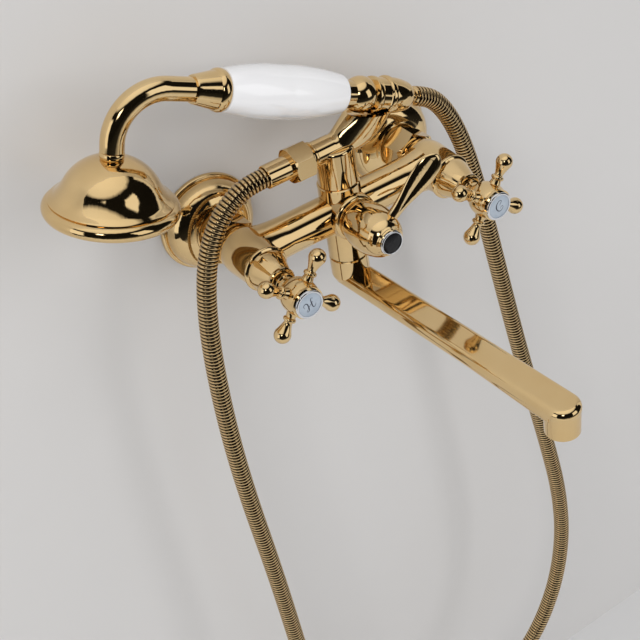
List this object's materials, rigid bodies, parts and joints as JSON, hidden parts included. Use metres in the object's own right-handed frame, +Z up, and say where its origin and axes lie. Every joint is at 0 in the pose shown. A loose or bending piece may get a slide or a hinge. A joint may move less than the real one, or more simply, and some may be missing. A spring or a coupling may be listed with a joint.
{
  "type": "wall mounted bath mixer",
  "caption": "Wall mounted bath mixer with two cross handles, a diverter lever, a swinging flat spout and a hand shower with a porcelain grip on a cradle.",
  "frame": {"origin": "on the wall plane, midway between the two inlets, at their height", "axes": "+Z up, +Y into the wall, +X to the right seen from the front"},
  "size_m": [0.3687, 0.2843, 0.7354],
  "materials": {
    "gold_plate": "polished gold plate on brass",
    "gold_hose": "polished gold double-lock hose",
    "chrome_trim": "polished chrome ring",
    "white_porcelain": "glazed white porcelain",
    "black_index": "glossy black",
    "bare_brass": "machined brass",
    "seal_rubber": "matte black rubber",
    "valve_ceramic": "lapped ceramic",
    "white_plastic": "white plastic",
    "screw_steel": "stainless steel"
  },
  "bodies": {
    "spout": {"aerator_grid": "white_plastic", "aerator_sleeve": "gold_plate", "spout_arm": "gold_plate", "spout_orings": "seal_rubber"},
    "mixer": {"body_casting": "gold_plate", "cradle_column": "gold_plate", "diverter_housing": "bare_brass", "hose_outlet_leg": "gold_hose", "inlet_washers": "seal_rubber", "left_bonnet": "gold_plate", "left_cartridge_housing": "bare_brass", "left_fixed_disc": "valve_ceramic", "left_rosette": "gold_plate", "left_union_nut": "gold_plate", "left_wall_union": "bare_brass", "outlet_ferrule": "gold_plate", "outlet_hose_nut": "gold_plate", "outlet_washer": "seal_rubber", "right_bonnet": "gold_plate", "right_cartridge_housing": "bare_brass", "right_fixed_disc": "valve_ceramic", "right_rosette": "gold_plate", "right_union_nut": "gold_plate", "right_wall_union": "bare_brass", "seat_seals": "seal_rubber", "tower_collar": "gold_plate", "tower_washer": "seal_rubber"},
    "diverter": {"diverter_index": "black_index", "diverter_index_ring": "chrome_trim", "diverter_knob": "gold_plate", "diverter_lever": "gold_plate", "diverter_spindle": "bare_brass"},
    "handset": {"front_ferrule": "gold_plate", "gooseneck": "gold_plate", "grip_core": "bare_brass", "handset_ferrule": "gold_plate", "handset_nut": "gold_plate", "handset_washer": "seal_rubber", "head_shell": "gold_plate", "hose_handset_leg": "gold_hose", "neck_collar": "gold_plate", "porcelain_grip": "white_porcelain", "rear_ball": "gold_plate", "rear_connector": "gold_plate", "spray_plate": "gold_plate"},
    "left_handle": {"left_cross_handle": "gold_plate", "left_handle_screw": "screw_steel", "left_index_button": "white_porcelain", "left_index_ring": "chrome_trim", "left_moving_disc": "valve_ceramic", "left_spindle": "bare_brass"},
    "right_handle": {"right_cross_handle": "gold_plate", "right_handle_screw": "screw_steel", "right_index_button": "white_porcelain", "right_index_ring": "chrome_trim", "right_moving_disc": "valve_ceramic", "right_spindle": "bare_brass"}
  },
  "joints": [
    {"name": "left_handle_turn", "type": "hinge", "parent": "mixer", "child": "left_handle", "pos_m": [-0.075, -0.117, 0], "axis": [0, 1, 0], "range_deg": [-90, 90]},
    {"name": "right_handle_turn", "type": "hinge", "parent": "mixer", "child": "right_handle", "pos_m": [0.075, -0.117, 0], "axis": [0, 1, 0], "range_deg": [-90, 90]},
    {"name": "diverter_turn", "type": "hinge", "parent": "mixer", "child": "diverter", "pos_m": [0, -0.1, 0], "axis": [0, 1, 0], "range_deg": [-90, 0]},
    {"name": "spout_swing", "type": "hinge", "parent": "mixer", "child": "spout", "pos_m": [0, -0.055, -0.054], "axis": [0, 0, 1], "range_deg": [-74, 66]},
    {"name": "handset_lift", "type": "slide", "parent": "mixer", "child": "handset", "axis": [0, 0, 1], "range_m": [0, 0.06]}
  ]
}
